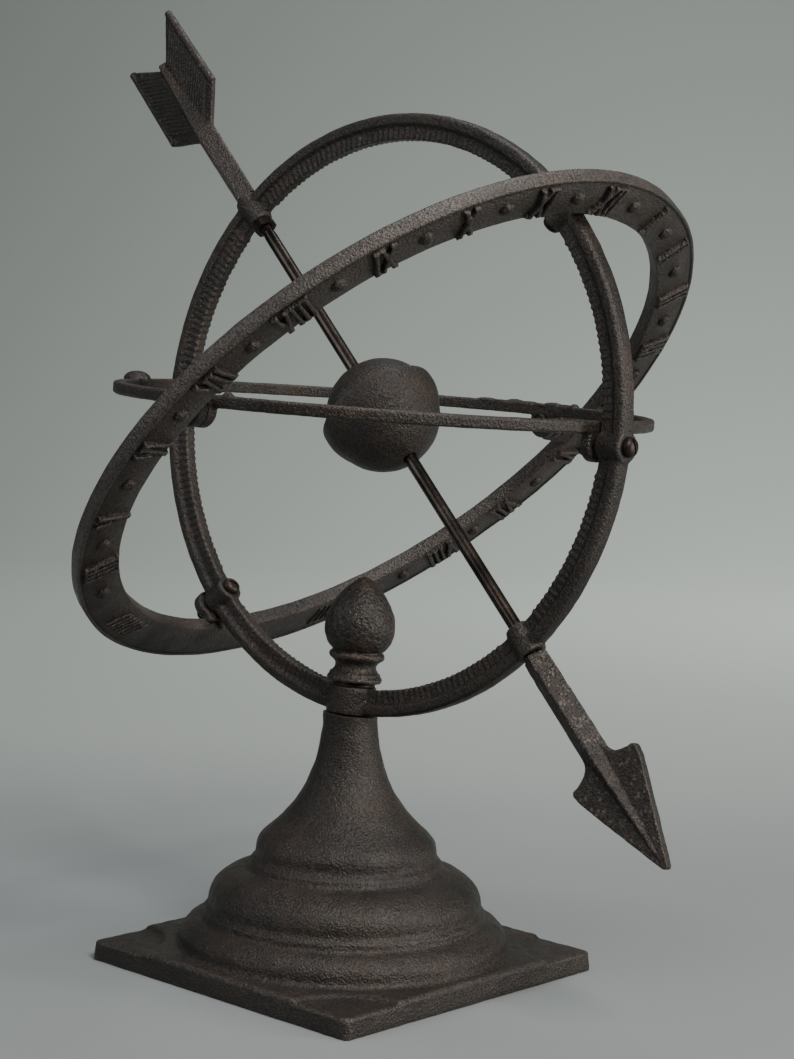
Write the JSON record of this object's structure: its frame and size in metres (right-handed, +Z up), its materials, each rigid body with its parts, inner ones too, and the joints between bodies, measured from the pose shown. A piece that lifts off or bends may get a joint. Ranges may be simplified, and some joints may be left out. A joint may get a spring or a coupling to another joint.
{
  "type": "armillary sphere",
  "caption": "Garden armillary sphere in cast iron: bolted rings, a globe and an arrow on a steel rod, on a stepped bell pedestal with a square plinth and an acorn finial.",
  "frame": {"origin": "middle of the object's footprint box, on the surface it stands on; the pedestal's axis stands 2.9 mm along +X and 10.2 mm along -Y from it", "axes": "+Z up; +X level, square to a side of the plinth, on the side that the arrowhead points to"},
  "size_m": [0.3237, 0.283, 0.3899],
  "materials": {
    "cast_iron": "sand-cast iron with a dark brown satin patina",
    "fastener_steel": "browned steel",
    "rod_steel": "drawn steel rod, browned, with a narrow sheen"
  },
  "bodies": {
    "stand": {"pedestal": "cast_iron", "pedestal_stud": "fastener_steel", "stud_washer": "fastener_steel", "stud_nut": "fastener_steel", "seat_washer": "fastener_steel", "acorn_finial": "cast_iron"},
    "sphere": {"meridian_ring": "cast_iron", "hour_ring": "cast_iron", "horizon_ring": "cast_iron", "hour_high_screw": "fastener_steel", "hour_high_nut": "fastener_steel", "hour_low_screw": "fastener_steel", "hour_low_nut": "fastener_steel", "horizon_front_screw": "fastener_steel", "horizon_front_nut": "fastener_steel", "horizon_back_screw": "fastener_steel", "horizon_back_nut": "fastener_steel", "cross_near_screw": "fastener_steel", "cross_near_nut": "fastener_steel", "cross_far_screw": "fastener_steel", "cross_far_nut": "fastener_steel"},
    "arrow": {"gnomon_rod": "rod_steel", "rod_nut": "fastener_steel", "arrow_head": "cast_iron", "arrow_tail": "cast_iron"},
    "globe": {"globe": "cast_iron"}
  },
  "joints": [
    {"name": "sphere_swivel", "type": "hinge", "parent": "stand", "child": "sphere", "pos_m": [0.0029, -0.0102, 0.1029], "axis": [0.0272, 0.0827, 0.9962], "continuous": true},
    {"name": "arrow_turn", "type": "hinge", "parent": "sphere", "child": "arrow", "pos_m": [0.00617, -0.00025, 0.22274], "axis": [0.7085, -0.0369, -0.7047], "continuous": true},
    {"name": "globe_turn", "type": "hinge", "parent": "arrow", "child": "globe", "pos_m": [0.00617, -0.00025, 0.22274], "axis": [0.7085, -0.0369, -0.7047], "continuous": true}
  ]
}
